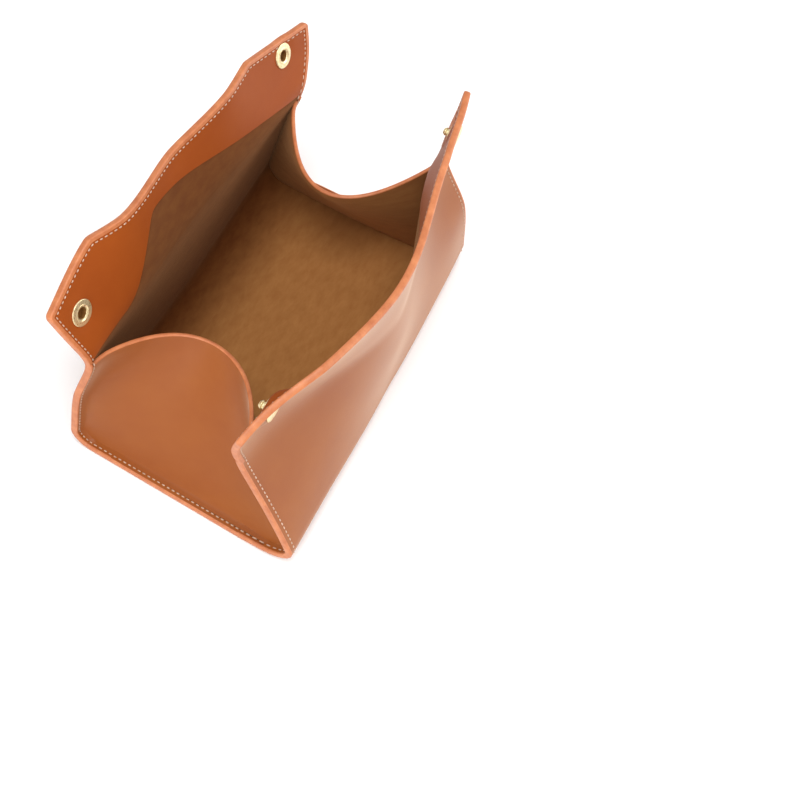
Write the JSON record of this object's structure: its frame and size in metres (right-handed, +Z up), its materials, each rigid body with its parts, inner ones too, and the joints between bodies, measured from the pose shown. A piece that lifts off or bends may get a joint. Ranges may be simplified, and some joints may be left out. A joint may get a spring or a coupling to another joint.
{
  "type": "leather tissue case",
  "caption": "Soft open-topped leather tissue case: hinged side walls with pointed flaps, bowed end gussets, suede lining and gilt snap fasteners.",
  "frame": {"origin": "middle of the base, on the surface that the case rests on", "axes": "+X along the case towards its far end, the front panel at -Y, +Z up"},
  "size_m": [0.2314, 0.1302, 0.1363],
  "materials": {
    "tan_leather": "smooth semi-matt leather with burnished orange edges",
    "smooth_facing": "smooth satin leather",
    "suede": "short brushed nap",
    "gilt_brass": "polished pale gilt"
  },
  "bodies": {
    "base": {"bottom_leather": "tan_leather", "bottom_lining": "suede", "near_gusset": "tan_leather", "near_gusset_lining": "suede", "far_gusset": "tan_leather", "far_gusset_lining": "suede"},
    "front_wall": {"front_wall_leather": "tan_leather", "front_wall_lining": "suede"},
    "front_flap": {"front_flap_leather": "tan_leather", "front_flap_facing": "smooth_facing", "front_flap_lining": "suede", "front_cap_near": "gilt_brass", "front_cap_far": "gilt_brass", "front_stud_near": "gilt_brass", "front_stud_far": "gilt_brass"},
    "back_wall": {"back_wall_leather": "tan_leather", "back_wall_lining": "suede"},
    "back_flap": {"back_flap_leather": "tan_leather", "back_flap_facing": "smooth_facing", "back_flap_lining": "suede", "back_cap_near": "gilt_brass", "back_cap_far": "gilt_brass", "back_socket_near": "gilt_brass", "back_socket_far": "gilt_brass"}
  },
  "joints": [
    {"name": "front_wall_crease", "type": "hinge", "parent": "base", "child": "front_wall", "pos_m": [0, -0.06198, 0.01312], "axis": [-1, 0, 0], "range_deg": [-16, 39.66], "deforming": ["near_gusset", "near_gusset_lining", "far_gusset", "far_gusset_lining"]},
    {"name": "front_flap_bend", "type": "hinge", "parent": "front_wall", "child": "front_flap", "pos_m": [0, -0.04638, 0.08648], "axis": [-1, 0, 0], "range_deg": [-38.68, 15.61]},
    {"name": "back_wall_crease", "type": "hinge", "parent": "base", "child": "back_wall", "pos_m": [0, 0.06209, 0.01251], "axis": [1, 0, 0], "range_deg": [-16, 42.56], "deforming": ["near_gusset", "near_gusset_lining", "far_gusset", "far_gusset_lining"]},
    {"name": "back_flap_bend", "type": "hinge", "parent": "back_wall", "child": "back_flap", "pos_m": [0, 0.051, 0.08668], "axis": [1, 0, 0], "range_deg": [-24.58, 9.25]}
  ],
  "couplings": [
    {"joint": "front_flap_bend", "follows": "front_wall_crease", "ratio": -0.9748},
    {"joint": "back_flap_bend", "follows": "back_wall_crease", "ratio": -0.5771}
  ]
}
